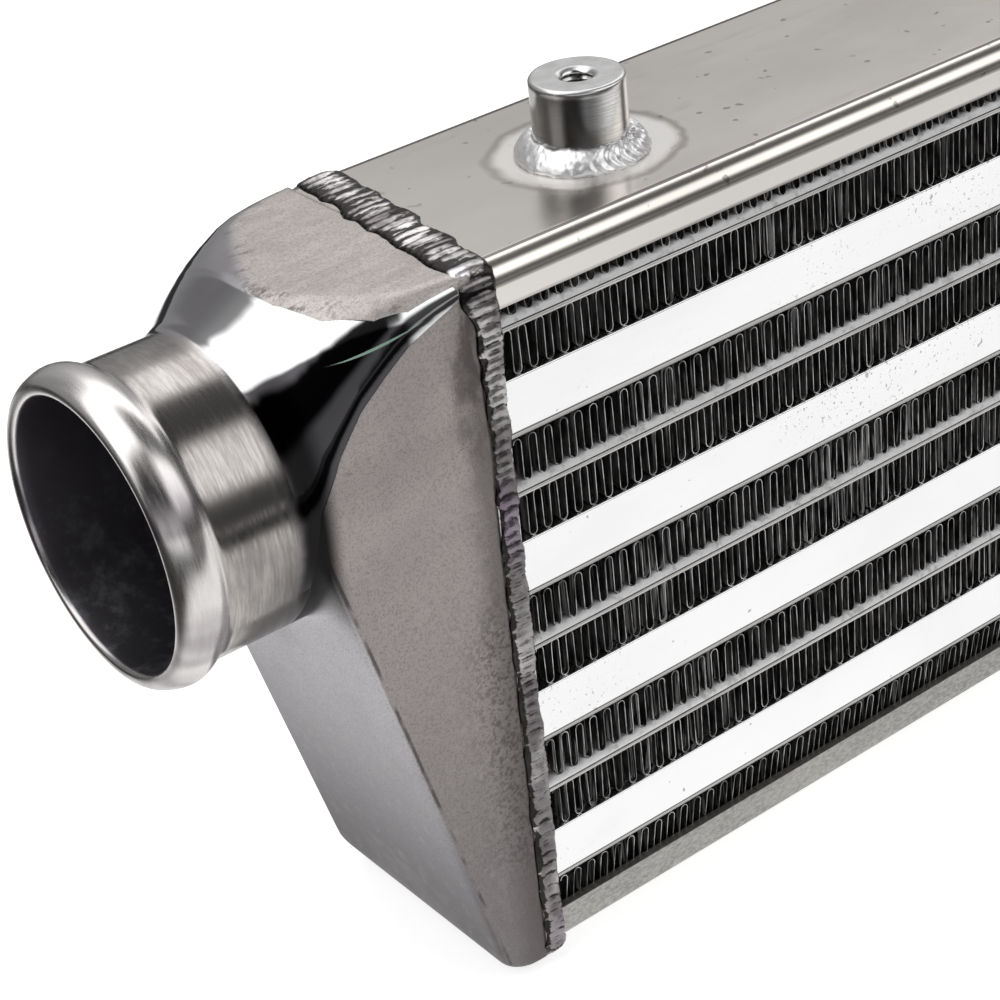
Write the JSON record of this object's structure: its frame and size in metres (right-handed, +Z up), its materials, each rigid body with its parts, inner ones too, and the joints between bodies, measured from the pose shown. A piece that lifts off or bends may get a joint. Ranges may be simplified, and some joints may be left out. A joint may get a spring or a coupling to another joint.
{
  "type": "intercooler",
  "caption": "Front mount air to air intercooler: flat tubes and folded fins between two cast end tanks with straight hose necks.",
  "frame": {"origin": "on the ground below the middle of the core", "axes": "+X along the core to the outlet tank, -Y to the front, +Z up"},
  "size_m": [0.6136, 0.068, 0.1888],
  "materials": {
    "fin": "thin bright sheet",
    "weld": "rippled bead",
    "bottom_plate": "rough satin",
    "tube": "bright rolled",
    "divider": "bright rolled",
    "end_bar": "mill",
    "cast_tank": "cast, matt",
    "boss": "turned",
    "top_plate": "satin",
    "insert": "mill"
  },
  "bodies": {
    "root": {"air_fin_1": "fin", "air_fin_2": "fin", "air_fin_3": "fin", "air_fin_4": "fin", "air_fin_5": "fin", "air_fin_6": "fin", "air_fin_7": "fin", "air_fin_8": "fin", "air_fin_9": "fin", "boss_weld_left": "weld", "boss_weld_right": "weld", "bottom_side_plate": "bottom_plate", "charge_tube_1": "tube", "charge_tube_2": "tube", "charge_tube_3": "tube", "charge_tube_4": "tube", "divider_1": "divider", "divider_2": "divider", "divider_3": "divider", "divider_4": "divider", "end_bar_left_1": "end_bar", "end_bar_left_2": "end_bar", "end_bar_left_3": "end_bar", "end_bar_left_4": "end_bar", "end_bar_left_5": "end_bar", "end_bar_left_6": "end_bar", "end_bar_left_7": "end_bar", "end_bar_left_8": "end_bar", "end_bar_left_9": "end_bar", "end_bar_right_1": "end_bar", "end_bar_right_2": "end_bar", "end_bar_right_3": "end_bar", "end_bar_right_4": "end_bar", "end_bar_right_5": "end_bar", "end_bar_right_6": "end_bar", "end_bar_right_7": "end_bar", "end_bar_right_8": "end_bar", "end_bar_right_9": "end_bar", "inlet_tank": "cast_tank", "mount_boss_left": "boss", "mount_boss_right": "boss", "outlet_tank": "cast_tank", "tank_weld_left": "weld", "tank_weld_right": "weld", "top_side_plate": "top_plate", "turbulator_1": "insert", "turbulator_2": "insert", "turbulator_3": "insert", "turbulator_4": "insert"}
  },
  "joints": []
}
